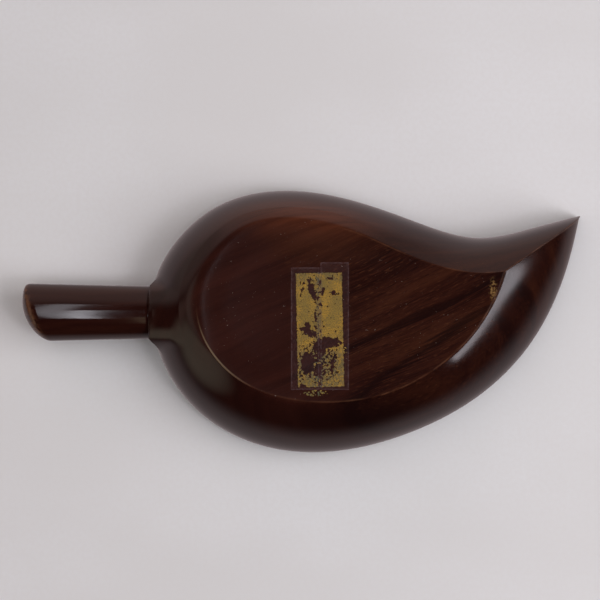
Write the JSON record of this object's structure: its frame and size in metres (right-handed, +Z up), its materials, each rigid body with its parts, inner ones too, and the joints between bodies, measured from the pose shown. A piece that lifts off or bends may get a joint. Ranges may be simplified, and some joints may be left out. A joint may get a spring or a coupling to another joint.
{
  "type": "leaf-shaped dip pen dish",
  "caption": "Leaf-shaped carved wooden dip pen dish with a deep hollow, a flat foot with a taped paper label under it, a pointed tip and a glued-in round stem.",
  "frame": {"origin": "under the middle of the whole object, on the plane its flat foot stands on", "axes": "+X from the stem to the leaf's tip, +Z up out of the hollow, +Y across the leaf, away from the side that the tip bends to"},
  "size_m": [0.2412, 0.1142, 0.04],
  "materials": {
    "leaf_wood": "polished dark red-brown hardwood, satin foot",
    "stem_wood": "polished dark red-brown hardwood",
    "dowel_wood": "plain pale hardwood, hidden",
    "gilt_paper": "worn gilt paper",
    "clear_tape": "clear adhesive tape, slightly hazed"
  },
  "bodies": {
    "root": {"leaf_tray": "leaf_wood", "stem": "stem_wood", "stem_dowel": "dowel_wood", "label": "gilt_paper", "tape_strip_left": "clear_tape", "tape_strip_right": "clear_tape"}
  },
  "joints": []
}
